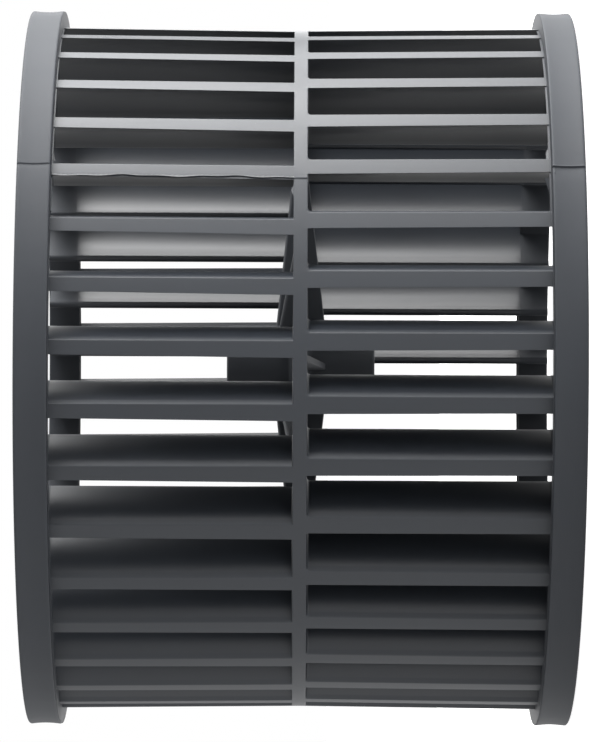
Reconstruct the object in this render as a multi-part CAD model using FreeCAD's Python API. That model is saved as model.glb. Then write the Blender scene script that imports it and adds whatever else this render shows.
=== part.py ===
import FreeCAD, Part
import math
import os

# Blower wheel with two inlets and forward-curved blades, moulded in one piece.
# The axis is Z and the origin is the centre of the wheel. All lengths are in
# millimetres and all angles in degrees. Angles run from +X towards +Y, and the
# wheel turns clockwise seen from +Z.

# Overall form
WHEEL_RADIUS = 50.0
WHEEL_WIDTH = 75.3

# End bands, which stand out past the blade tips
BAND_STEP = 2.5
BAND_WIDTH = 4.5
BAND_HOLLOW = 0.18
BAND_EDGE = 0.35
FLANK_EDGE = 0.45
SLEEVE_DEPTH = 1.2

# Blade cages
BLADE_COUNT = 36
BLADE_DEPTH = 6.5
TIP_WIDTH = 2.3
NOSE_THICKNESS = 1.02
NOSE_LEAD = 3.27
CONVEX_RADIUS = 12.0
CONCAVE_RADIUS = 8.5
CONCAVE_LEAN = 0.23
BLADE_END_RECESS = 0.3
UPPER_CAGE_ANGLE = -85.5
CAGE_STAGGER = 1.23

# Web, whose rim is the centre ring
WEB_THICKNESS = 2.06

# Hub and its bore
BORE_RADIUS = 4.0
BORE_CHAMFER = 0.5
HUB_WALL = 2.0
HUB_LENGTH = 20.6
HUB_EDGE = 0.4
HUB_FILLET = 0.5

# Gusset ribs between the web and the hub
RIB_COUNT = 6
RIB_THICKNESS = 1.1
RIB_FOOT_RADIUS = 31.5
RIB_HEIGHT = 2.42
LOWER_RIB_ANGLE = -87.34
RIB_STAGGER = 30.0

# How far one form runs into the next, so that they make one solid
OVERLAP = 0.3

TIP_RADIUS = WHEEL_RADIUS - BAND_STEP
HUB_RADIUS = BORE_RADIUS + HUB_WALL

AXIS = FreeCAD.Vector(0, 0, 1)
CENTRE = FreeCAD.Vector(0, 0, 0)


def turned(corners):
    """Turn a closed section of (radius, height) corners round the axis."""
    points = [FreeCAD.Vector(radius, 0, height) for radius, height in corners]
    face = Part.Face(Part.makePolygon(points + points[:1]))
    return face.revolve(CENTRE, AXIS, 360)


def arc_between(start, end, radius, side):
    """An arc of a given radius from start to end, bulging towards side."""
    middle = (start + end) * 0.5
    rise = radius - math.sqrt(radius ** 2 - (end - start).Length ** 2 / 4)
    return Part.Arc(start, middle + side_normal(start, end, side) * rise, end).toShape()


def side_normal(start, end, side):
    """The unit vector across a chord, on the side asked for."""
    chord = end - start
    normal = side - chord * (side.dot(chord) / chord.dot(chord))
    return normal.normalize()


def end_band():
    """The upper end band: a ring with a slightly hollow outer face. It reaches
    in past the blade tips as a sleeve, which ties the blades together."""
    top = WHEEL_WIDTH / 2
    flank = top - BAND_WIDTH
    face_top = top - BAND_EDGE
    face_low = flank + FLANK_EDGE
    sleeve_radius = TIP_RADIUS - SLEEVE_DEPTH
    return turned([
        (sleeve_radius, top),
        (WHEEL_RADIUS - BAND_EDGE, top),
        (WHEEL_RADIUS, face_top),
        (WHEEL_RADIUS - BAND_HOLLOW, (face_top + face_low) / 2),
        (WHEEL_RADIUS, face_low),
        (WHEEL_RADIUS - FLANK_EDGE, flank),
        (sleeve_radius, flank),
    ])


def blade():
    """One blade of the upper cage, with its tip's trailing corner at angle 0.
    Both sides are round, and the hollow side leans outwards so that the blade
    is thicker at the web than at the end band, as the mould's draft needs.
    The tip runs past the tip radius, and is trimmed to it with the ring."""
    low = WEB_THICKNESS / 2 - OVERLAP
    rise = FreeCAD.Vector(0, 0, WHEEL_WIDTH / 2 - BLADE_END_RECESS - low)
    sideways = FreeCAD.Vector(0, 1, 0)
    nose_radius = TIP_RADIUS - BLADE_DEPTH
    lead = math.radians(NOSE_LEAD)
    spread = TIP_WIDTH / TIP_RADIUS
    tip_back = FreeCAD.Vector(TIP_RADIUS, 0, low)
    tip_front = FreeCAD.Vector(TIP_RADIUS * math.cos(spread), -TIP_RADIUS * math.sin(spread), low)
    nose_back = FreeCAD.Vector(nose_radius * math.cos(lead), nose_radius * math.sin(lead), low)
    nose_front = nose_back - sideways * NOSE_THICKNESS
    nose_edge = FreeCAD.Vector(NOSE_THICKNESS / 3, NOSE_THICKNESS / 3, 0)
    nose_inner = nose_back - nose_edge
    nose_outer = nose_front - FreeCAD.Vector(nose_edge.x, -nose_edge.y, 0)
    outwards = FreeCAD.Vector(2 * OVERLAP, -2 * OVERLAP, 0)
    edges = [
        arc_between(tip_back, nose_back, CONVEX_RADIUS, sideways),
        Part.makeLine(nose_back, nose_inner),
        Part.makeLine(nose_inner, nose_outer),
        Part.makeLine(nose_outer, nose_front),
        Part.makeLine(nose_front, tip_front + outwards),
        Part.makeLine(tip_front + outwards, tip_back + outwards),
        Part.makeLine(tip_back + outwards, tip_back),
    ]
    body = Part.Face(Part.Wire(edges)).extrude(rise)

    half_chord = (tip_front - nose_front).Length / 2
    drop = math.sqrt(CONCAVE_RADIUS ** 2 - half_chord ** 2)
    normal = side_normal(nose_front, tip_front, sideways)
    hollow_centre = (nose_front + tip_front) * 0.5 - normal * drop
    direction = rise + FreeCAD.Vector(CONCAVE_LEAN, 0, 0)
    hollow = Part.makeCylinder(
        CONCAVE_RADIUS, direction.Length * 3, hollow_centre - direction, direction
    )
    return body.cut(hollow)


def web():
    """The web between the cages, whose rim is the centre ring, and the hub."""
    web_half = WEB_THICKNESS / 2
    hub_half = HUB_LENGTH / 2
    upper = [
        (TIP_RADIUS + 2 * OVERLAP, web_half),
        (HUB_RADIUS + HUB_FILLET, web_half),
        (HUB_RADIUS, web_half + HUB_FILLET),
        (HUB_RADIUS, hub_half - HUB_EDGE),
        (HUB_RADIUS - HUB_EDGE, hub_half),
        (BORE_RADIUS + BORE_CHAMFER, hub_half),
        (BORE_RADIUS, hub_half - BORE_CHAMFER),
    ]
    lower = [(radius, -height) for radius, height in reversed(upper)]
    return turned(upper + lower)


def gusset():
    """One rib on the web's upper side, sloping from the hub to the web."""
    web_half = WEB_THICKNESS / 2
    inner = (HUB_RADIUS + BORE_RADIUS) / 2
    slope = RIB_HEIGHT / (RIB_FOOT_RADIUS - HUB_RADIUS)
    inner_height = web_half + RIB_HEIGHT + slope * (HUB_RADIUS - inner)
    points = [
        FreeCAD.Vector(inner, -RIB_THICKNESS / 2, 0),
        FreeCAD.Vector(RIB_FOOT_RADIUS, -RIB_THICKNESS / 2, 0),
        FreeCAD.Vector(RIB_FOOT_RADIUS, -RIB_THICKNESS / 2, web_half),
        FreeCAD.Vector(inner, -RIB_THICKNESS / 2, inner_height),
    ]
    face = Part.Face(Part.makePolygon(points + points[:1]))
    return face.extrude(FreeCAD.Vector(0, RIB_THICKNESS, 0))


def round_the_axis(shape, count, first_angle):
    """Copies of a shape at equal steps round the axis."""
    step = 360.0 / count
    return [shape.rotated(CENTRE, AXIS, first_angle + index * step) for index in range(count)]


def to_lower_side(shape):
    """The same form drawn on the other side of the web."""
    return shape.mirror(CENTRE, AXIS)


def blower_wheel():
    """The whole moulding as one solid."""
    upper_blade = blade()
    upper_rib = gusset()
    upper_band = end_band()
    inside = round_the_axis(upper_blade, BLADE_COUNT, UPPER_CAGE_ANGLE)
    inside += round_the_axis(
        to_lower_side(upper_blade), BLADE_COUNT, UPPER_CAGE_ANGLE + CAGE_STAGGER
    )
    inside += round_the_axis(upper_rib, RIB_COUNT, LOWER_RIB_ANGLE + RIB_STAGGER)
    inside += round_the_axis(to_lower_side(upper_rib), RIB_COUNT, LOWER_RIB_ANGLE)
    barrel = Part.makeCylinder(
        TIP_RADIUS, WHEEL_WIDTH, FreeCAD.Vector(0, 0, -WHEEL_WIDTH / 2), AXIS
    )
    cages = web().fuse(inside).common(barrel)
    return cages.fuse([upper_band, to_lower_side(upper_band)])


os.makedirs("parts", exist_ok=True)

wheel = blower_wheel()
print("solids", len(wheel.Solids), "valid", wheel.isValid(), "volume", round(wheel.Volume, 1))
wheel.exportStep("parts/blower_wheel.step")
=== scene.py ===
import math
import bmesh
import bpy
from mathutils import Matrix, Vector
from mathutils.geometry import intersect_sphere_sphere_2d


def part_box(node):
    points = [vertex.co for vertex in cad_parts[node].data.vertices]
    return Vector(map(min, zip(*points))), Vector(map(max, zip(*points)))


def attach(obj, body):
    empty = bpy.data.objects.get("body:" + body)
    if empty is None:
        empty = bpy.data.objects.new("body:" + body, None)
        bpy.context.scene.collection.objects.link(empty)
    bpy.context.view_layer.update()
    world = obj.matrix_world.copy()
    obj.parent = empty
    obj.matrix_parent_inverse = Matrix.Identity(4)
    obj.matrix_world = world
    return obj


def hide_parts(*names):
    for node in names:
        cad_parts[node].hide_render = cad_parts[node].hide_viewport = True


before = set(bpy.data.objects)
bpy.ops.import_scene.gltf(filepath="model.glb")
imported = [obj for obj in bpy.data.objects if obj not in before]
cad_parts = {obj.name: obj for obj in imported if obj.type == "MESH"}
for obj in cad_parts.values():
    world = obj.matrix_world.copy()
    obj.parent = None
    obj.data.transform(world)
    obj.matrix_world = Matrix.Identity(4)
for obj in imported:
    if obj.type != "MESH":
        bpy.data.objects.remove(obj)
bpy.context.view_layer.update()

# %% [markdown]
# # A moulded blower wheel
# This lesson dresses one plastic moulding: a wheel with two cages of blades on a
# shared web, as used in fan heaters, cooker hoods and cooling units. The packed
# solid gives its size and place. Here it gets the finish of a real moulding:
# rounded edges, fillets, the blades' draft, parting marks and satin plastic.
# We start with the units and with the solid's own box, so that every size
# below is tied to the same frame.

MM = 0.001
solid_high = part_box("blower_wheel")[1]
WHEEL_RADIUS = solid_high.x
HALF_WIDTH = solid_high.z
print("the wheel is", round(WHEEL_RADIUS * 2 / MM, 2), "mm across")
print("the wheel is", round(HALF_WIDTH * 2 / MM, 2), "mm wide")

# %% [markdown]
# ## Sizes of the bands and the web
# The named sizes follow the solid. Two bands close the ends and stand out past
# the blade tips. Each reaches in behind the tips as a sleeve, which ties the
# blades together. The web lies between the two cages. Outside the web circle its
# face is drawn with the feet of the blades, and inside it the web is turned.

# %% Bands and web
BAND_STEP = 2.5 * MM
BAND_WIDTH = 4.5 * MM
BAND_HOLLOW = 0.18 * MM
SLEEVE_DEPTH = 1.2 * MM
TIP_RADIUS = WHEEL_RADIUS - BAND_STEP
SLEEVE_RADIUS = TIP_RADIUS - SLEEVE_DEPTH
FLANK = HALF_WIDTH - BAND_WIDTH
UPPER_WEB = 1.03 * MM
LOWER_WEB = 0.86 * MM
WEB_CIRCLE = TIP_RADIUS - 9 * MM
print("the windows are", round((FLANK - UPPER_WEB) / MM, 2), "mm long in the upper cage")
print("the windows are", round((FLANK - LOWER_WEB) / MM, 2), "mm long in the lower cage")

# %% [markdown]
# ## Points and arcs
# Everything on a wheel goes round, so most of it can be drawn by spinning. One
# vertex that is spun about a centre leaves an arc of edges. The centre of such an
# arc follows from its two ends and its radius. Curve objects could draw arcs too,
# but spun ones are vertices at once, which the next steps can build on.

# %% Points and arcs
AXIS_POINT = Vector((0, 0, 0))


def polar(radius, angle, height):
    """A point at a radius and an angle round the wheel's axis."""
    return Vector((radius * math.cos(angle), radius * math.sin(angle), height))


def draw_arc(bm, start, centre, end, steps):
    """Spin a vertex about a centre as far as an end point. Gives the arc's vertices."""
    start_arm = (start.co - centre).to_2d()
    end_arm = (end - centre).to_2d()
    turn = math.atan2(start_arm.cross(end_arm), start_arm.dot(end_arm))
    known = len(bm.verts)
    bmesh.ops.spin(bm, geom=[start], cent=centre, axis=(0, 0, 1), angle=turn, steps=steps)
    bm.verts.ensure_lookup_table()
    return [start, *bm.verts[known:]]


def arc_centre(start, end, radius):
    """The centre of an arc that bulges to the right of the way from start to end."""
    half = (end - start) / 2
    side = Vector((-half.y, half.x, 0)).normalized()
    return start + half + side * math.sqrt(radius ** 2 - half.length_squared)


# %% [markdown]
# ## The section of a blade
# Seen along the axis, a blade is a crescent with a blunt outer end, the tip
# face, and a round nose inside. We draw it at a given height as a chain of arcs:
# one for the back, a tighter one for the hollow side and a small one round the
# nose. A smooth curve through a few points would be quicker to draw, but the steel
# is cut in arcs, and arcs keep the radii that were measured. Each side gets a
# vertex where it crosses the sleeve's circle, because the band takes over there.

# %% Blade section
BLADE_DEPTH = 6.5 * MM
NOSE_RADIUS = TIP_RADIUS - BLADE_DEPTH
NOSE_LEAD = math.radians(3.27)
NOSE_THICKNESS = 1.02 * MM
NOSE_ROUND = 0.56 * MM
BACK_RADIUS = 12.0 * MM
HOLLOW_RADIUS = 8.5 * MM
ROOT_STEPS = 2
SIDE_STEPS = 8
NOSE_STEPS = 6


def crossing(centre, radius, near):
    """Where a blade's arc crosses the sleeve's inner circle, nearest to a point."""
    points = intersect_sphere_sphere_2d((0, 0), SLEEVE_RADIUS, centre.to_2d(), radius)
    best = min(points, key=lambda point: (point - near.to_2d()).length)
    return Vector((best.x, best.y, near.z))


def blade_section(bm, height, tip_width):
    """Draw one blade's outline, with the trailing corner of its tip at angle 0."""
    back_tip = polar(TIP_RADIUS, 0, height)
    front_tip = polar(TIP_RADIUS, -tip_width / TIP_RADIUS, height)
    back_nose = polar(NOSE_RADIUS, NOSE_LEAD, height)
    front_nose = back_nose - Vector((0, NOSE_THICKNESS, 0))
    back_centre = arc_centre(back_tip, back_nose, BACK_RADIUS)
    nose_centre = arc_centre(back_nose, front_nose, NOSE_ROUND)
    hollow_centre = arc_centre(front_tip, front_nose, HOLLOW_RADIUS)
    back_point = crossing(back_centre, BACK_RADIUS, back_tip)
    hollow_point = crossing(hollow_centre, HOLLOW_RADIUS, front_tip)

    first = bm.verts.new(back_tip)
    back_root = draw_arc(bm, first, back_centre, back_point, ROOT_STEPS)
    back = draw_arc(bm, back_root[-1], back_centre, back_nose, SIDE_STEPS)
    nose = draw_arc(bm, back[-1], nose_centre, front_nose, NOSE_STEPS)
    hollow = draw_arc(bm, nose[-1], hollow_centre, hollow_point, SIDE_STEPS)
    hollow_root = draw_arc(bm, hollow[-1], hollow_centre, front_tip, ROOT_STEPS)
    tip = draw_arc(bm, hollow_root[-1], Vector((0, 0, height)), back_tip, ROOT_STEPS)
    bmesh.ops.weld_verts(bm, targetmap={tip[-1]: first})
    tip[-1] = first
    return {
        "back_root": back_root, "back": back, "nose": nose,
        "hollow": hollow, "hollow_root": hollow_root, "tip": tip,
    }


print("a blade is", round(BLADE_DEPTH / MM, 2), "mm deep")
print("its nose is", round(NOSE_THICKNESS / MM, 2), "mm thick")

# %% [markdown]
# ## The walls of a blade
# A blade is thickest at the web and gets thinner towards the band, because the
# mould opens along the axis and a wall without that draft would stick in the
# steel. An extruded section would have none. So we draw the section at five
# heights, each time with a narrower tip, and bridge each one to the next.

# %% Blade walls
WALL_STEPS = 4


def edges_along(bm, *rows):
    """The edges between neighbours in rows of vertices."""
    return [bm.edges.get(pair) for row in rows for pair in zip(row, row[1:])]


def blade_walls(bm, web_half, tip_width, tip_draft):
    """Build one blade's walls. Gives its sections at the web and at the band."""
    sections = []
    for step in range(WALL_STEPS + 1):
        height = web_half + (FLANK - web_half) * step / WALL_STEPS
        sections.append(blade_section(bm, height, tip_width - tip_draft * height))
    for low, high in zip(sections, sections[1:]):
        loops = edges_along(bm, *low.values()) + edges_along(bm, *high.values())
        bmesh.ops.bridge_loops(bm, edges=loops)
    return sections[0], sections[-1]


# %% [markdown]
# ## The web round a blade's foot
# A pitch is one blade with half a gap on each side. Its share of the web is a
# flat face that reaches from the tips' circle to the web circle, with the blade's
# foot left out. A boolean cut could make that hole, but it leaves stray corners.
# Here arcs round the axis draw the two long edges, and the flat face is filled
# from its border.

# %% Share of the web
BLADE_COUNT = 36
PITCH = 2 * math.pi / BLADE_COUNT
FORE_STEPS = 3
AFT_STEPS = 2
CIRCLE_STEPS = 4


def share_of_web(bm, foot, web_half):
    """Fill one pitch of the web's face, round the foot of its blade."""
    half = PITCH / 2
    fore_end = polar(TIP_RADIUS, half, 0)
    aft_end = polar(TIP_RADIUS, -half, 0)
    fore = draw_arc(bm, foot["back_root"][0], AXIS_POINT, fore_end, FORE_STEPS)
    aft = draw_arc(bm, foot["tip"][0], AXIS_POINT, aft_end, AFT_STEPS)
    inner_start = bm.verts.new(polar(WEB_CIRCLE, -half, web_half))
    inner_end = polar(WEB_CIRCLE, half, 0)
    inner = draw_arc(bm, inner_start, AXIS_POINT, inner_end, CIRCLE_STEPS)
    sides = [bm.edges.new((aft[-1], inner[0])), bm.edges.new((fore[-1], inner[-1]))]
    foot_rows = [foot[name] for name in ("back_root", "back", "nose", "hollow", "hollow_root")]
    border = edges_along(bm, fore, aft, inner, *foot_rows) + sides
    bmesh.ops.contextual_create(bm, geom=border)


print("blade pitch at the tips", round(TIP_RADIUS * PITCH / MM, 2), "mm")

# %% [markdown]
# ## The blade's end in the sleeve
# Behind the tips, the blade runs on inside the sleeve, almost to the wheel's end.
# The edges of its nose and sides and those of the sleeve are extruded together,
# which makes all these walls in one go, and they share their corners. Then the
# blade's end is filled.

# %% Blade end
END_RECESS = 0.3 * MM
BLADE_END = HALF_WIDTH - END_RECESS


def blade_end(bm, head):
    """Run a blade and the sleeve to the blade's end. Gives the two rows of the
    sleeve at the flank, and the edges that the band grows from."""
    half = PITCH / 2
    fore_end = polar(SLEEVE_RADIUS, half, 0)
    aft_end = polar(SLEEVE_RADIUS, -half, 0)
    fore = draw_arc(bm, head["back"][0], AXIS_POINT, fore_end, FORE_STEPS)
    aft = draw_arc(bm, head["hollow"][-1], AXIS_POINT, aft_end, AFT_STEPS)
    inner_rows = [head["back"], head["nose"], head["hollow"]]
    rising = edges_along(bm, fore, aft, *inner_rows)
    made = bmesh.ops.extrude_edge_only(bm, edges=rising)["geom"]
    end_verts = [item for item in made if isinstance(item, bmesh.types.BMVert)]
    bmesh.ops.translate(bm, verts=end_verts, vec=(0, 0, BLADE_END - FLANK))

    def end_vert(vert):
        """The vertex at the blade's end that stands over one at the flank."""
        return min(end_verts, key=lambda other: (other.co.xy - vert.co.xy).length)

    ends = [[end_vert(vert) for vert in row] for row in inner_rows]
    closing = draw_arc(bm, ends[2][-1], AXIS_POINT, ends[0][0].co, ROOT_STEPS)
    bmesh.ops.weld_verts(bm, targetmap={closing[-1]: ends[0][0]})
    closing[-1] = ends[0][0]
    bmesh.ops.contextual_create(bm, geom=edges_along(bm, closing, *ends))
    sleeve_ends = [[end_vert(vert) for vert in row] for row in (fore, aft)]
    return fore, aft, edges_along(bm, closing, *sleeve_ends)


print("a blade ends", round(END_RECESS / MM, 2), "mm inside the wheel's end")

# %% [markdown]
# ## The band
# The band's profile grows from the sleeve: up to the wheel's end, outwards, and
# down the outer face to the flank. Each step extrudes the last row of edges and
# scales it about the axis. A band turned on its own would have to be joined to
# the blades later, while this one is sewn to them from the start. The outer face
# is slightly hollow, as thick plastic sinks in when it cools. The flank is filled
# from its border, like the web.

# %% Share of the band
FACE_STEPS = 8


def next_ring(bm, edges, radius, height):
    """Extrude a row of edges to another radius and height. Gives the new row."""
    made = bmesh.ops.extrude_edge_only(bm, edges=edges)["geom"]
    verts = [item for item in made if isinstance(item, bmesh.types.BMVert)]
    growth = radius / verts[0].co.xy.length
    bmesh.ops.scale(bm, verts=verts, vec=(growth, growth, 1))
    bmesh.ops.translate(bm, verts=verts, vec=(0, 0, height - verts[0].co.z))
    new = set(verts)
    rows = [item for item in made if isinstance(item, bmesh.types.BMEdge)]
    return [edge for edge in rows if new.issuperset(edge.verts)]


def share_of_band(bm, head, fore, aft, ring):
    """Build one pitch of the band, and the flank round the tip of its blade."""
    ring = next_ring(bm, ring, SLEEVE_RADIUS, HALF_WIDTH)
    ring = next_ring(bm, ring, WHEEL_RADIUS, HALF_WIDTH)
    for step in range(1, FACE_STEPS + 1):
        share = step / FACE_STEPS
        radius = WHEEL_RADIUS - BAND_HOLLOW * 4 * share * (1 - share)
        ring = next_ring(bm, ring, radius, HALF_WIDTH + (FLANK - HALF_WIDTH) * share)
    outer = {vert for edge in ring for vert in edge.verts}
    fore_corner = max(outer, key=lambda vert: vert.co.y)
    aft_corner = min(outer, key=lambda vert: vert.co.y)
    sides = [bm.edges.new((fore[-1], fore_corner)), bm.edges.new((aft[-1], aft_corner))]
    tip_rows = [head[name] for name in ("back_root", "hollow_root", "tip")]
    border = edges_along(bm, fore, aft, *tip_rows) + sides + ring
    bmesh.ops.contextual_create(bm, geom=border)


print("the band's face is", round(BAND_HOLLOW / MM, 2), "mm hollow")

# %% [markdown]
# ## One half of the wheel
# Thirty-six pitches make a cage. The spin operator copies the pitch round the
# axis, and merging the doubles sews the copies together. An Array modifier could
# copy it too, but its copies can't be edited one by one later. The web and the hub
# are turned from the cage's inner circle: the rings run in over the web, which
# swells a little towards the hub, up the hub and into the bore.

# %% Half a wheel
WELD = 0.005 * MM
RING_SLACK = 0.03 * MM
WEB_SWELL = 0.2 * MM
HUB_RADIUS = 6.0 * MM
SWELL_CIRCLE = HUB_RADIUS * 3
HUB_HALF = 10.3 * MM
BORE_RADIUS = 4.0 * MM
BORE_CHAMFER = 0.5 * MM


def ring_edges(bm, radius, height):
    """The edges that run round the axis at a radius and a height, on either half."""
    def is_on(vert):
        """Whether a vertex lies on the ring."""
        aside = abs(vert.co.xy.length - radius)
        return aside < RING_SLACK and abs(abs(vert.co.z) - height) < RING_SLACK

    return [edge for edge in bm.edges if all(is_on(vert) for vert in edge.verts)]


def half_wheel(web_half, tip_width, tip_draft):
    """The upper half of the wheel, open at the centre ring and in the bore."""
    bm = bmesh.new()
    foot, head = blade_walls(bm, web_half, tip_width, tip_draft)
    share_of_web(bm, foot, web_half)
    share_of_band(bm, head, *blade_end(bm, head))
    print("one pitch has", len(bm.faces), "faces")
    bmesh.ops.spin(
        bm, geom=bm.verts[:] + bm.edges[:] + bm.faces[:], cent=AXIS_POINT, axis=(0, 0, 1),
        angle=2 * math.pi - PITCH, steps=BLADE_COUNT - 1, use_duplicate=True,
    )
    bmesh.ops.remove_doubles(bm, verts=bm.verts, dist=WELD)

    ring = ring_edges(bm, WEB_CIRCLE, web_half)
    ring = next_ring(bm, ring, SWELL_CIRCLE, web_half)
    ring = next_ring(bm, ring, HUB_RADIUS, web_half + WEB_SWELL)
    ring = next_ring(bm, ring, HUB_RADIUS, HUB_HALF)
    ring = next_ring(bm, ring, BORE_RADIUS + BORE_CHAMFER, HUB_HALF)
    next_ring(bm, ring, BORE_RADIUS, HUB_HALF - BORE_CHAMFER)
    return bm


# %% [markdown]
# ## Two halves
# The lower half is the same form, mirrored in the web and turned by a small
# stagger against the upper one. Its tips are a little wider and have less draft,
# since each cage is shaped by its own half of the mould. A Mirror modifier
# couldn't do that, so the lower half is built from its own values. Bridges across
# the centre ring and through the bore join the halves into one closed mesh.

# %% Two halves
UPPER_TIP = 2.34 * MM
UPPER_TIP_DRAFT = 0.0105
LOWER_TIP = 2.44 * MM
LOWER_TIP_DRAFT = 0.0065
UPPER_CAGE_ANGLE = math.radians(-85.67)
CAGE_STAGGER = math.radians(1.28)


def add_mesh(bm, other):
    """Move another mesh's geometry into this one."""
    carrier = bpy.data.meshes.new("carrier")
    other.to_mesh(carrier)
    other.free()
    bm.from_mesh(carrier)
    bpy.data.meshes.remove(carrier)


def turn_verts(bm, verts, angle):
    """Turn some vertices about the wheel's axis."""
    turn = Matrix.Rotation(angle, 3, "Z")
    bmesh.ops.rotate(bm, verts=verts, cent=AXIS_POINT, matrix=turn)


def count_open(bm):
    """How many edges don't lie between exactly two faces."""
    return sum(not edge.is_manifold for edge in bm.edges)


wheel = half_wheel(UPPER_WEB, UPPER_TIP, UPPER_TIP_DRAFT)
turn_verts(wheel, wheel.verts, UPPER_CAGE_ANGLE)
lower = half_wheel(LOWER_WEB, LOWER_TIP, LOWER_TIP_DRAFT)
turn_verts(lower, lower.verts, UPPER_CAGE_ANGLE + CAGE_STAGGER)
bmesh.ops.scale(lower, verts=lower.verts, vec=(1, 1, -1))
add_mesh(wheel, lower)

for smallest, largest in ((TIP_RADIUS - MM, WHEEL_RADIUS), (0, BORE_RADIUS + MM)):
    border = [
        edge for edge in wheel.edges
        if edge.is_boundary and smallest < edge.verts[0].co.xy.length < largest
    ]
    bmesh.ops.bridge_loops(wheel, edges=border)
bmesh.ops.recalc_face_normals(wheel, faces=wheel.faces)
print("the wheel has", len(wheel.faces), "faces and", count_open(wheel), "open edges")

# %% [markdown]
# ## Fillets at the blades' feet
# The corner between a blade and the web gets a fillet, since molten plastic needs
# a soft path into the blade. On the backs of the lower blades it is larger. A
# Bevel modifier would give all corners one radius. So the corners are picked by
# how sharp they are and where they lie, and then bevelled with their own radius.

# %% Foot fillets
UPPER_FILLET = 0.12 * MM
LOWER_BACK_FILLET = 0.42 * MM
LOWER_HOLLOW_FILLET = 0.14 * MM
CORNER_LIMIT = math.radians(-35)
FINE_STEPS = 3


def sharp_edges(bm, limit):
    """Edges with a corner sharper than a limit: above 0 outwards, below 0 inwards."""
    if limit > 0:
        return [edge for edge in bm.edges if edge.calc_face_angle_signed() > limit]
    return [edge for edge in bm.edges if edge.calc_face_angle_signed() < limit]


def foot_edges(bm, height, back):
    """The corners between blades and web at a height, on the backs or the hollow sides."""
    found = []
    for edge in sharp_edges(bm, CORNER_LIMIT):
        on_web = all(abs(vert.co.z - height) < WELD for vert in edge.verts)
        if not on_web or edge.verts[0].co.xy.length < WEB_CIRCLE:
            continue
        wall = min(edge.link_faces, key=lambda face: abs(face.normal.z))
        middle = (edge.verts[0].co + edge.verts[1].co) / 2
        if (Vector((0, 0, 1)).cross(middle).dot(wall.normal) > 0) == back:
            found.append(edge)
    return found


def round_off(bm, edges, radius, segments):
    """Round edges off, or fill a corner, with a given radius."""
    bmesh.ops.bevel(
        bm, geom=edges, offset=radius, offset_type="OFFSET", affect="EDGES", segments=segments,
        profile=0.5, material=-1, clamp_overlap=False, loop_slide=True,
    )


for height, back, radius in (
    (UPPER_WEB, True, UPPER_FILLET),
    (UPPER_WEB, False, UPPER_FILLET),
    (-LOWER_WEB, True, LOWER_BACK_FILLET),
    (-LOWER_WEB, False, LOWER_HOLLOW_FILLET),
):
    round_off(wheel, foot_edges(wheel, height, back), radius, FINE_STEPS)
print("after the foot fillets:", len(wheel.faces), "faces")

# %% [markdown]
# ## Rounded edges
# No mould leaves a sharp edge. The rounds are small here, but they decide how
# the part looks, because each of them catches a thin line of light. A shader can
# fake a round, but then the outline stays sharp. They go round every window, at
# the hub's foot and end, and along the bands.

# %% Rounded edges
WINDOW_ROUND = 0.13 * MM
WINDOW_SLACK = 0.02 * MM
HUB_FILLET = 0.6 * MM
HUB_ROUND = 0.35 * MM
BAND_ROUND = 0.35 * MM
FLANK_ROUND = 0.3 * MM
INLET_ROUND = 0.2 * MM
EDGE_LIMIT = math.radians(40)
SMOOTH_STEPS = 4


def window_edges(bm):
    """The outer edges of the windows: those of the tips, the fillets and the centre ring."""
    return [
        edge for edge in sharp_edges(bm, EDGE_LIMIT)
        if all(abs(vert.co.xy.length - TIP_RADIUS) < WINDOW_SLACK for vert in edge.verts)
        and all(abs(vert.co.z) < FLANK + WELD for vert in edge.verts)
    ]


round_off(wheel, window_edges(wheel), WINDOW_ROUND, FINE_STEPS)
for circle, height, radius, segments in (
    (HUB_RADIUS, UPPER_WEB + WEB_SWELL, HUB_FILLET, SMOOTH_STEPS),
    (HUB_RADIUS, LOWER_WEB + WEB_SWELL, HUB_FILLET, SMOOTH_STEPS),
    (HUB_RADIUS, HUB_HALF, HUB_ROUND, FINE_STEPS),
    (WHEEL_RADIUS, HALF_WIDTH, BAND_ROUND, SMOOTH_STEPS),
    (WHEEL_RADIUS, FLANK, FLANK_ROUND, SMOOTH_STEPS),
    (SLEEVE_RADIUS, HALF_WIDTH, INLET_ROUND, FINE_STEPS),
):
    round_off(wheel, ring_edges(wheel, circle, height), radius, segments)
print("after rounding:", len(wheel.faces), "faces")

# %% [markdown]
# ## Parting lines
# The outside of the wheel is shaped by steel slides, which part along a plane
# through the axis. Where they meet, the plastic keeps a fine groove, and in two
# places a raised lip beside it. A bump in the material would only show from the
# front, so the lines are real. Each is cut into the faces by bisecting them a few
# times, and then the cut's vertices are pushed in or pulled out. The plane
# passes through the axis, so it marks both sides of the wheel, as the slides do.

# %% Parting lines
UPPER_PARTING = -57.59
LOWER_PARTING = -57.8
RING_PARTING = -58.19
BESIDE_PLANE = 3 * MM
PARTING_SLACK = 0.1 * MM
BAND_SKIN = WHEEL_RADIUS - 0.5 * MM
RING_SKIN = TIP_RADIUS - 0.2 * MM


def cut_beside_plane(bm, angle, aside, smallest, low, high):
    """Cut the outer faces between two heights beside a plane through the axis."""
    normal = Vector((-math.sin(angle), math.cos(angle), 0))
    faces = [
        face for face in bm.faces
        if all(low < vert.co.z < high and vert.co.xy.length > smallest for vert in face.verts)
        and any(abs(vert.co.dot(normal)) < BESIDE_PLANE for vert in face.verts)
    ]
    edges = {edge for face in faces for edge in face.edges}
    verts = {vert for face in faces for vert in face.verts}
    made = bmesh.ops.bisect_plane(
        bm, geom=[*faces, *edges, *verts], dist=WELD / 5, plane_co=normal * aside, plane_no=normal,
    )
    return [item for item in made["geom_cut"] if isinstance(item, bmesh.types.BMVert)]


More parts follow.
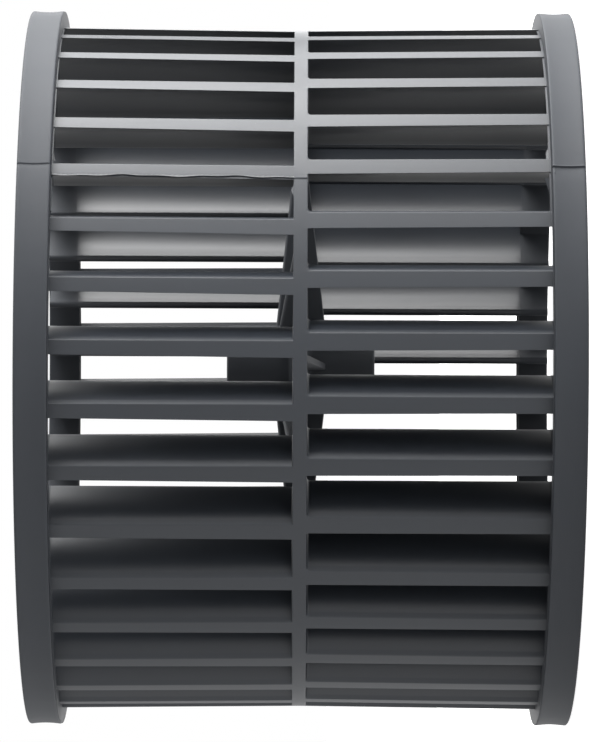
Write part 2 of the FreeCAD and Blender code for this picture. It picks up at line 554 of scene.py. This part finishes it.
def parting_line(bm, angle, smallest, low, high, depth, lip):
    """Press a groove into the skin, with a lip beside it at a slightly larger angle."""
    # How far beside the plane a cut lies and how far its vertices move, in millimetres.
    for aside, push in ((0.34, 0), (0.2, lip), (0.1, 0), (0, -depth), (-0.12, 0)):
        for vert in cut_beside_plane(bm, angle, aside * MM, smallest, low, high):
            radius = vert.co.xy.length
            vert.co.xy *= (radius + push * MM) / radius


# Each row: angle in degrees, skin, lower and upper end, groove and lip in millimetres.
for degrees, skin, low, high, depth, lip in (
    (UPPER_PARTING, BAND_SKIN, FLANK, HALF_WIDTH, 0.12, 0),
    (LOWER_PARTING, BAND_SKIN, -HALF_WIDTH, -FLANK, 0.22, 0.08),
    (RING_PARTING, RING_SKIN, -LOWER_WEB, UPPER_WEB, 0.12, 0.04),
):
    low -= PARTING_SLACK
    high += PARTING_SLACK
    parting_line(wheel, math.radians(degrees), skin, low, high, depth, lip)
print("after the parting lines:", len(wheel.faces), "faces")

# %% [markdown]
# ## Flash along the flanks
# A little plastic is squeezed out where two pieces of steel meet. Along the
# flanks of the bands it leaves a thin lip between the tips. It could be a part of
# the band's profile, but it only goes round a part of the wheel. So it is a closed
# strip, made by spinning a small section, with its back buried in the flank.

# %% Flash lips
FLASH_START = math.radians(-64.5)
FLASH_END = math.radians(122)
FLASH_STEPS = 90
FLASH_INNER = TIP_RADIUS - 0.4 * MM
FLASH_OUTER = TIP_RADIUS - 0.13 * MM
UPPER_FLASH = 0.17 * MM
LOWER_FLASH = 0.26 * MM
BURIED = FLANK + WELD / 2


def flash_strip(bm, low, high):
    """A thin lip between two heights, just below the tips' circle."""
    corners = (
        (FLASH_INNER, low), (FLASH_OUTER, low), (FLASH_OUTER, high), (FLASH_INNER, high),
    )
    section = [bm.verts.new(polar(radius, FLASH_START, height)) for radius, height in corners]
    face = bm.faces.new(section)
    bmesh.ops.spin(
        bm, geom=[face, *face.edges, *face.verts], cent=AXIS_POINT, axis=(0, 0, 1),
        angle=FLASH_END - FLASH_START, steps=FLASH_STEPS,
    )


flash_strip(wheel, FLANK - UPPER_FLASH, BURIED)
flash_strip(wheel, -BURIED, LOWER_FLASH - FLANK)
print("the lips are", round(UPPER_FLASH / MM, 2), "and", round(LOWER_FLASH / MM, 2), "mm high")

# %% [markdown]
# ## A wavy fin
# Beside the parting plane, one blade of the upper cage has a thin fin along its
# tip, with a wavy free edge. It flares out, so it catches the light. Random noise
# could shape the edge, but two sine waves can be set to the bumps of a real fin. A
# fin starts as a flat grid. Its two long sides are laid along two lines, which are
# written as functions, and solidify then gives the sheet its thickness.

# %% Wavy fin
FIN_THICKNESS = 0.07 * MM
FIN_STEPS = 48
FIN_BLADE = 3
FIN_LEAD = math.radians(0.6)
FIN_ROOT_DEPTH = 0.03 * MM
FIN_ROOT_ASIDE = 0.25 * MM
FIN_FLARE = 0.2 * MM
LONG_WAVE = 2.1 * MM
SHORT_WAVE = 0.83 * MM
FIN_ANGLE = UPPER_CAGE_ANGLE + FIN_BLADE * PITCH + FIN_LEAD - UPPER_TIP / TIP_RADIUS


def flash_fin(bm, steps, near, far):
    """A thin closed fin between two lines. A line turns a share of its length into a point."""
    fin = bmesh.new()
    bmesh.ops.create_grid(fin, x_segments=steps, y_segments=1, size=0.5)
    for vert in fin.verts:
        line = far if vert.co.y > 0 else near
        vert.co = line(vert.co.x + 0.5)
    bmesh.ops.solidify(fin, geom=fin.faces[:], thickness=FIN_THICKNESS)
    add_mesh(bm, fin)


def fin_height(share):
    """The height at a share of the fin's length, which is that of the blade."""
    return UPPER_WEB + share * (FLANK - UPPER_WEB)


def fin_root(share):
    """The fin's root, buried in the tip face of its blade."""
    angle = FIN_ANGLE + FIN_ROOT_ASIDE / TIP_RADIUS
    return polar(TIP_RADIUS - FIN_ROOT_DEPTH, angle, fin_height(share))


def wavy_edge(share):
    """The fin's free edge: a long wave with a short one on it."""
    height = fin_height(share)
    wave = 0.1 + 0.1 * math.sin(height / LONG_WAVE) + 0.07 * math.sin(height / SHORT_WAVE + 1)
    return polar(TIP_RADIUS + FIN_FLARE, FIN_ANGLE - wave * MM / TIP_RADIUS, height)


flash_fin(wheel, FIN_STEPS, fin_root, wavy_edge)
print("the fin is", round((FLANK - UPPER_WEB) / MM, 2), "mm long")

# %% [markdown]
# ## Webbed corners
# In the windows beside the parting plane, flash fills some corners at the bands.
# They could be pulled out of the windows' own corners, but a fin of its own leaves
# the rounds there as they are. Each fin lies between a line along the flank and a
# line whose distance from the flank changes on the way.

# %% Webbed corners
CORNER_STEPS = 10


def along(angles, radii, height):
    """A line round the wheel from one angle and radius to another. Its height is a
    function of the share of the way."""
    def line(share):
        """The point at a share of the way."""
        angle = math.radians(angles[0] + (angles[1] - angles[0]) * share)
        return polar(radii[0] + (radii[1] - radii[0]) * share, angle, height(share))

    return line


def webbed_corner(bm, side, angles, depths, width):
    """A fin in a window's corner, which fills it from the band's flank inwards. The
    depths say how far below the tips it starts and ends."""
    radii = [TIP_RADIUS - depth * MM for depth in depths]
    root = along(angles, radii, lambda share: side * BURIED)
    edge = along(angles, radii, lambda share: side * (FLANK - width(share) * MM))
    flash_fin(bm, CORNER_STEPS, root, edge)


def even_taper(share):
    """A corner that widens evenly from nothing."""
    return 0.38 * share


def quick_rise(share):
    """A corner that gets wider over the second quarter of its length."""
    return 0.3 + 0.32 * min(1, max(0, 4 * share - 1))


def falling_off(share):
    """A corner that is wide at first and then soon gets narrow."""
    return 0.12 + 0.85 * (1 - share) ** 1.6


# Each call: side of the web, angles in degrees, depths in millimetres, and widths.
webbed_corner(wheel, 1, (-51.7, -55.0), (1.1, 0.1), even_taper)
webbed_corner(wheel, -1, (-50.2, -55.2), (0.8, 0.1), quick_rise)
webbed_corner(wheel, -1, (-58.0, -62.6), (0.1, 1.3), falling_off)
print("after the webbed corners:", len(wheel.faces), "faces")

# %% [markdown]
# ## A burr and a blob
# Beside its parting line, the centre ring has a short burr that reaches a little
# way into an upper window. A small blob of plastic sticks to the lower band
# beside that band's line. The burr is one more fin, and the blob is a ball of
# triangles that is drawn out round the wheel.

# %% Burr and blob
BURR_STEPS = 12
BURR_ANGLES = (-58.9, -61.8)
BURR_ROOT = TIP_RADIUS - 0.1 * MM
BURR_EDGE = TIP_RADIUS - 0.15 * MM
BLOB_DEGREES = -58.9
BLOB_HEIGHT = -33.5 * MM
BLOB_LONG = 0.4 * MM
BLOB_ACROSS = 0.15 * MM


def burr_root(share):
    """The height of the burr's root, buried in the centre ring."""
    return UPPER_WEB - 0.1 * MM


def burr_edge(share):
    """The height of the burr's free edge, which is ragged and ends at the ring."""
    ragged = 1 - 0.5 * math.sin(9 * share)
    return UPPER_WEB + 0.2 * MM * math.sin(math.pi * share) * ragged


flash_fin(
    wheel, BURR_STEPS,
    along(BURR_ANGLES, (BURR_ROOT, BURR_ROOT), burr_root),
    along(BURR_ANGLES, (BURR_EDGE, BURR_EDGE), burr_edge),
)
blob = bmesh.ops.create_icosphere(wheel, subdivisions=2, radius=1)["verts"]
bmesh.ops.scale(wheel, verts=blob, vec=(BLOB_ACROSS, BLOB_LONG, BLOB_ACROSS))
bmesh.ops.translate(wheel, verts=blob, vec=(WHEEL_RADIUS - BAND_HOLLOW, 0, BLOB_HEIGHT))
turn_verts(wheel, blob, math.radians(BLOB_DEGREES))
print("after the burr and the blob:", len(wheel.faces), "faces")

# %% [markdown]
# ## Not quite true
# A moulding shrinks as it cools. The blade tips end up on a slight waist,
# narrowest at the centre ring, and the blades are spread a little unevenly round
# the wheel. The lower end band also leans by a fraction of a millimetre. All of
# this is too small to see at a glance, yet it shows in the outline and in the
# thin gaps at the ends of the windows. A lattice could bend the mesh by hand. A
# formula on its vertices does it by exact amounts.

# %% Shrinkage
WAIST = 0.16 * MM
BULGE = 0.19 * MM
BAND_LEAN = 0.7 * MM
LEAN_START = FLANK / 2
SPREAD = math.radians(0.26)
for vert in wheel.verts:
    radius = vert.co.xy.length
    height = abs(vert.co.z)
    if radius > WEB_CIRCLE:
        angle = math.atan2(vert.co.y, vert.co.x)
        vert.co = polar(radius, angle - SPREAD * math.sin(2 * angle), vert.co.z)
    if radius > NOSE_RADIUS and height < FLANK + WELD:
        depth = min(1, (radius - NOSE_RADIUS) / (TIP_RADIUS - NOSE_RADIUS))
        grown = radius + depth * ((WAIST + BULGE) * height / FLANK - WAIST)
        vert.co.xy *= grown / radius
    if vert.co.z < -LEAN_START:
        share = (height - LEAN_START) / (HALF_WIDTH - LEAN_START)
        vert.co.z += BAND_LEAN * share * (0.5 + vert.co.y / (2 * WHEEL_RADIUS))
lowest = min(vert.co.z for vert in wheel.verts)
print("the lower end now reaches", round(lowest / MM, 3), "mm")

# %% [markdown]
# ## The ribs
# Six thin ribs on each side run from the hub out over the web and stiffen it.
# Each is a tapered wedge, drawn from a cube whose outer top edge is pulled down.
# The upper ribs have a nearly full round along the crest, the lower ones a small
# one. The ribs run into the hub and the web without being sewn to them, which
# looks the same and keeps the faces of both clean.

# %% Ribs
RIB_COUNT = 6
RIB_THICKNESS = 1.1 * MM
RIB_TAPER = 0.85
RIB_INNER = (HUB_RADIUS + BORE_RADIUS) / 2
RIB_FOOT_RADIUS = 31.5 * MM
RIB_FOOT = LOWER_WEB * 0.9
RIB_HEIGHT = 2.42 * MM
UPPER_CREST = 0.4 * MM
LOWER_CREST = 0.15 * MM
LOWER_RIB_ANGLE = math.radians(-87.34)
RIB_STAGGER = math.radians(30)


def add_rib(bm, angle, side, crest_radius):
    """One rib, from inside the hub's wall to its foot on the web."""
    slope = RIB_HEIGHT / (RIB_FOOT_RADIUS - HUB_RADIUS)
    height = UPPER_WEB + RIB_HEIGHT + slope * (HUB_RADIUS - RIB_INNER)
    verts = bmesh.ops.create_cube(bm, size=1)["verts"]
    bmesh.ops.translate(bm, verts=verts, vec=(0.5, 0, 0.5))
    bmesh.ops.scale(bm, verts=verts, vec=(RIB_FOOT_RADIUS - RIB_INNER, RIB_THICKNESS, height))
    bmesh.ops.translate(bm, verts=verts, vec=(RIB_INNER, 0, 0))
    for vert in verts:
        if vert.co.z > RIB_FOOT:
            vert.co.y *= RIB_TAPER
            if vert.co.x > RIB_INNER + MM:
                vert.co.z = RIB_FOOT
    crest = [
        edge for edge in {edge for vert in verts for edge in vert.link_edges}
        if all(vert.co.z > RIB_FOOT / 2 for vert in edge.verts)
    ]
    made = bmesh.ops.bevel(
        bm, geom=crest, offset=crest_radius, affect="EDGES", segments=SMOOTH_STEPS,
        profile=0.5, material=-1,
    )
    verts = list({vert for vert in verts if vert.is_valid} | set(made["verts"]))
    bmesh.ops.scale(bm, verts=verts, vec=(1, 1, side))
    turn_verts(bm, verts, angle)


for index in range(RIB_COUNT):
    step = index * 2 * math.pi / RIB_COUNT
    add_rib(wheel, LOWER_RIB_ANGLE + RIB_STAGGER + step, 1, UPPER_CREST)
    add_rib(wheel, LOWER_RIB_ANGLE + step, -1, LOWER_CREST)
bmesh.ops.recalc_face_normals(wheel, faces=wheel.faces)
print("with the ribs:", len(wheel.faces), "faces and", count_open(wheel), "open edges")

# %% [markdown]
# ## The piece itself
# The finished mesh becomes one object that rides on the wheel's body and stands
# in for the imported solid. Smooth shading alone would make its broad faces look
# puffy. Weighted normals keep them flat and let the small rounds turn the light.

# %% The piece
SHARP_ANGLE = math.radians(52)
wheel_mesh = bpy.data.meshes.new("moulded_wheel")
wheel.to_mesh(wheel_mesh)
wheel.free()
wheel_mesh.shade_smooth()
wheel_mesh.set_sharp_from_angle(angle=SHARP_ANGLE)
moulded_wheel = bpy.data.objects.new("moulded_wheel", wheel_mesh)
bpy.context.scene.collection.objects.link(moulded_wheel)
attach(moulded_wheel, "root")
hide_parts("blower_wheel")
shading = moulded_wheel.modifiers.new("soft_shading", "WEIGHTED_NORMAL")
shading.keep_sharp = True
print("moulded wheel:", len(wheel_mesh.polygons), "faces")

# %% [markdown]
# ## Satin and matt faces
# Polished steel leaves the blades and the centre ring satin, while the steel
# round the bands and the hub is spark-eroded and leaves them nearly matt: the
# bands look even where the tips already shine. Of the two slides that shape the
# outside, the one below the parting line is the duller one. Three materials could
# show this, but the whole wheel is one plastic. So an attribute on the faces
# holds how matt each of them is, from 0 to 1.

# %% Satin and matt faces
DULL_SLIDE = 0.55
BAND_START = TIP_RADIUS + 0.4 * MM
SLIDE_REACH = TIP_RADIUS - 0.6 * MM
parting_way = polar(1, math.radians(LOWER_PARTING + 90), 0)
matt_steel = wheel_mesh.attributes.new("matt_steel", "FLOAT", "FACE")
for face in wheel_mesh.polygons:
    radius = face.center.xy.length
    on_band = radius > BAND_START or abs(face.center.z) > FLANK + WELD
    on_core = radius < WEB_CIRCLE
    below_line = radius > SLIDE_REACH and face.center.dot(parting_way) < 0
    if on_band or on_core:
        matt_steel.data[face.index].value = 1
    elif below_line:
        matt_steel.data[face.index].value = DULL_SLIDE
    else:
        matt_steel.data[face.index].value = 0
matt_count = sum(mark.value == 1 for mark in matt_steel.data)
print(matt_count, "of", len(wheel_mesh.polygons), "faces are matt")

# %% [markdown]
# ## Shader nodes
# Colours are written as the hex values of a colour picker, which are sRGB, and
# the shader wants linear ones. One function turns them, and another adds a node.
# A node's input takes either a fixed value or the output of another node.

# %% Shader nodes
def linear(hex_colour):
    """Turn an sRGB hex colour into the linear values that shaders use."""
    levels = [int(hex_colour[place:place + 2], 16) / 255 for place in (1, 3, 5)]
    straight = [
        level / 12.92 if level <= 0.04045 else ((level + 0.055) / 1.055) ** 2.4
        for level in levels
    ]
    return (*straight, 1)


def add_node(owner, kind, inputs=None, **settings):
    """Add one shader node with its settings. Each input gets a value or a link."""
    node = owner.node_tree.nodes.new(kind)
    for name, value in settings.items():
        setattr(node, name, value)
    for name, value in (inputs or {}).items():
        if isinstance(value, bpy.types.NodeSocket):
            owner.node_tree.links.new(value, node.inputs[name])
        else:
            node.inputs[name].default_value = value
    return node


# %% [markdown]
# ## Moulded plastic
# Such a wheel is injection moulded in polypropylene or nylon that is dyed right
# through. To the eye that is one plain dark colour, a bluish grey a little lighter
# than black, with a soft sheen. The gloss varies in patches, where the melt cooled
# at different speeds, and the colour shifts slightly with them. The steel's texture
# shows as a fine, shallow grain. Noise on Object coordinates needs no UV map and
# stays in its place on the wheel. The faces that matt steel shaped take the matt
# roughness, the others the satin one, and the dull slide's faces lie in between.

# %% Moulded plastic
# Plastics have an IOR of about 1.5. It is a little lower here, for the dark fronts.
PLASTIC_IOR = 1.45
DEEP_GREY = "#25282D"
SOFT_GREY = "#2A2E34"
SATIN_LOW, SATIN_HIGH = 0.34, 0.38
MATT_LOW, MATT_HIGH = 0.62, 0.68
PATCH = 12 * MM
# The real grain is finer. It is drawn at 0.25 mm so that it just shows.
GRAIN = 0.25 * MM
GRAIN_DEPTH = 0.01 * MM

plastic = bpy.data.materials.new("moulded_dark_plastic")
plastic.use_nodes = True
place = add_node(plastic, "ShaderNodeTexCoord").outputs["Object"]
patches = add_node(
    plastic, "ShaderNodeTexNoise", {"Vector": place, "Scale": 1 / PATCH, "Detail": 3}
).outputs["Fac"]
satin = add_node(
    plastic, "ShaderNodeMapRange", {"Value": patches, "To Min": SATIN_LOW, "To Max": SATIN_HIGH}
)
matt = add_node(
    plastic, "ShaderNodeMapRange", {"Value": patches, "To Min": MATT_LOW, "To Max": MATT_HIGH}
)
mattness = add_node(plastic, "ShaderNodeAttribute", attribute_name="matt_steel")
roughness = add_node(
    plastic, "ShaderNodeMix", {
        "Factor": mattness.outputs["Fac"],
        2: satin.outputs["Result"],
        3: matt.outputs["Result"],
    }, data_type="FLOAT",
)
shade = add_node(
    plastic, "ShaderNodeMix", {"Factor": patches, 6: linear(DEEP_GREY), 7: linear(SOFT_GREY)},
    data_type="RGBA",
)
grain = add_node(
    plastic, "ShaderNodeTexNoise", {"Vector": place, "Scale": 1 / GRAIN, "Detail": 2}
)
relief = add_node(
    plastic, "ShaderNodeBump",
    {"Height": grain.outputs["Fac"], "Strength": 0.25, "Distance": GRAIN_DEPTH},
)

surface = plastic.node_tree.nodes["Principled BSDF"]
surface.inputs["IOR"].default_value = PLASTIC_IOR
links = plastic.node_tree.links
links.new(roughness.outputs[0], surface.inputs["Roughness"])
links.new(shade.outputs[2], surface.inputs["Base Color"])
links.new(relief.outputs["Normal"], surface.inputs["Normal"])
wheel_mesh.materials.append(plastic)
print("the plastic has", len(plastic.node_tree.nodes), "nodes")

# %% [markdown]
# ## What the camera sees
# The floor and the room have to look like white paper, but they mustn't light
# the wheel, or its colour would wash out. A picture behind the wheel would leave
# nothing for the plastic to reflect. Light Path tells the rays apart instead:
# those from the camera, from a gloss and through glass get one shader, and all
# other rays get another one.

# %% Mixing by ray
def mix_by_ray(owner, plain, shown, output):
    """Show one shader to the camera and to mirror-like rays, and another to all other rays."""
    ray = add_node(owner, "ShaderNodeLightPath")
    shows = ray.outputs["Is Camera Ray"]
    for kind in ("Is Glossy Ray", "Is Transmission Ray"):
        either = add_node(
            owner, "ShaderNodeMath", {0: shows, 1: ray.outputs[kind]}, operation="MAXIMUM"
        )
        shows = either.outputs["Value"]
    choice = add_node(owner, "ShaderNodeMixShader", {"Fac": shows, 1: plain, 2: shown})
    owner.node_tree.links.new(choice.outputs["Shader"], output)


# %% [markdown]
# ## The floor
# The wheel stands on its lower end on a plain floor of matt white paper. To the
# camera the floor glows a little below full white, before the lamps add their
# light, so that it keeps a soft shadow.

# %% Floor
FLOOR_WHITE = "#F0F0F0"
FLOOR_GLOW = 0.9
scene = bpy.context.scene
floor_mesh = bpy.data.meshes.new("floor")
floor_bm = bmesh.new()
bmesh.ops.create_grid(floor_bm, x_segments=1, y_segments=1, size=6)
floor_bm.to_mesh(floor_mesh)
floor_bm.free()
floor = bpy.data.objects.new("floor", floor_mesh)
floor.location.z = -HALF_WIDTH
scene.collection.objects.link(floor)

floor_paint = bpy.data.materials.new("white_floor")
floor_paint.use_nodes = True
floor_surface = floor_paint.node_tree.nodes["Principled BSDF"]
floor_surface.inputs["Base Color"].default_value = linear(FLOOR_WHITE)
floor_surface.inputs["Roughness"].default_value = 0.9
floor_mesh.materials.append(floor_paint)
lit_floor = floor_surface.outputs["BSDF"]
glow = add_node(floor_paint, "ShaderNodeEmission", {"Strength": FLOOR_GLOW})
bright_floor = add_node(
    floor_paint, "ShaderNodeAddShader", {0: lit_floor, 1: glow.outputs["Emission"]}
)
floor_end = floor_paint.node_tree.nodes["Material Output"].inputs["Surface"]
mix_by_ray(floor_paint, lit_floor, bright_floor.outputs["Shader"], floor_end)
print("the floor lies at", round(floor.location.z / MM, 2), "mm")

# %% [markdown]
# ## The room
# The room is the world behind everything. It is white where it is seen, and it
# gives the wheel only a little light from all sides.

# %% Room
ROOM_LIGHT = 0.1
room = bpy.data.worlds.new("room")
scene.world = room
room.use_nodes = True
seen = room.node_tree.nodes["Background"]
seen.inputs["Color"].default_value = (1, 1, 1, 1)
seen.inputs["Strength"].default_value = 1
unseen = add_node(room, "ShaderNodeBackground", {"Strength": ROOM_LIGHT})
room_end = room.node_tree.nodes["World Output"].inputs["Surface"]
mix_by_ray(room, unseen.outputs["Background"], seen.outputs["Background"], room_end)
print("the room's light has a strength of", ROOM_LIGHT)

# %% [markdown]
# ## Light
# Three soft lights stand over the upper side of the picture, from slightly behind
# the wheel to in front of it, so that the tips shine in turn as they come round.
# Two weak ones answer from the opposite side, one from behind reaches through the
# windows, and one shines down into the upper inlet and lights the blades from
# inside. One large lamp would be simpler, but the tips would all shine alike. The
# camera sees none of the lamps themselves.

# %% Light
LAMP_DISTANCE = 0.6


def soft_light(name, direction, size, power):
    """A square soft light that faces the wheel from a direction."""
    data = bpy.data.lights.new(name, "AREA")
    data.shape = "RECTANGLE"
    data.size = size
    data.size_y = size
    data.energy = power
    lamp = bpy.data.objects.new(name, data)
    way = Vector(direction).normalized()
    facing = way.to_track_quat("Z", "X").to_matrix().to_4x4()
    lamp.matrix_world = Matrix.Translation(way * LAMP_DISTANCE) @ facing
    lamp.visible_camera = False
    scene.collection.objects.link(lamp)
    print(name, "has", power, "watts")


soft_light("high_back_light", (0.91, 0.41, 0.25), 0.45, 3.1)
soft_light("high_front_light", (0.95, -0.1, 0.25), 0.45, 7.0)
soft_light("front_light", (0.82, -0.46, 0.3), 0.35, 1.4)
soft_light("low_back_light", (-1, 0.07, 0.25), 0.45, 0.1)
soft_light("low_front_light", (-0.7, -0.6, 0.25), 0.45, 0.6)
soft_light("back_light", (0.15, 1, 0.3), 0.45, 1.4)
soft_light("inlet_light", (0.35, 0.3, 0.9), 0.35, 1.6)

# %% [markdown]
# ## Camera
# The photo was taken from far away, so that the wheel looks almost flat: the
# camera stands 695 mm off with a long lens, level with the web, and its up
# direction is the wheel's X. A focal length of 4942.5 pixels makes one pixel of
# the photo 0.14 mm at the axis, and its 742 pixels of height make that a lens of
# 239.8 mm on a film 36 mm high. The view is rolled by a quarter of a degree and
# set a few pixels aside, as in the photo.

# %% Camera
CAMERA_DISTANCE = 695 * MM
FOCAL_PIXELS = 4942.5
LENS = 239.8
ROLL = math.radians(-0.235)
PIXELS_RIGHT = 0.65
PIXELS_UP = 2.65
PIXEL = CAMERA_DISTANCE / FOCAL_PIXELS
camera_data = bpy.data.cameras.new("camera")
camera_data.sensor_width = 36
camera_data.lens = LENS
camera_data.clip_end = 10
camera = bpy.data.objects.new("camera", camera_data)
scene.collection.objects.link(camera)
forward = Vector((0, 1, 0))
roll = Matrix.Rotation(ROLL, 3, forward)
up = roll @ Vector((1, 0, 0))
right = roll @ Vector((0, 0, -1))
turn = Matrix((right, up, -forward)).transposed().to_4x4()
position = -forward * CAMERA_DISTANCE - right * PIXELS_RIGHT * PIXEL - up * PIXELS_UP * PIXEL
camera.matrix_world = Matrix.Translation(position) @ turn
scene.camera = camera
scene.view_settings.view_transform = "Standard"
print("one pixel is", round(PIXEL / MM, 3), "mm at the axis")
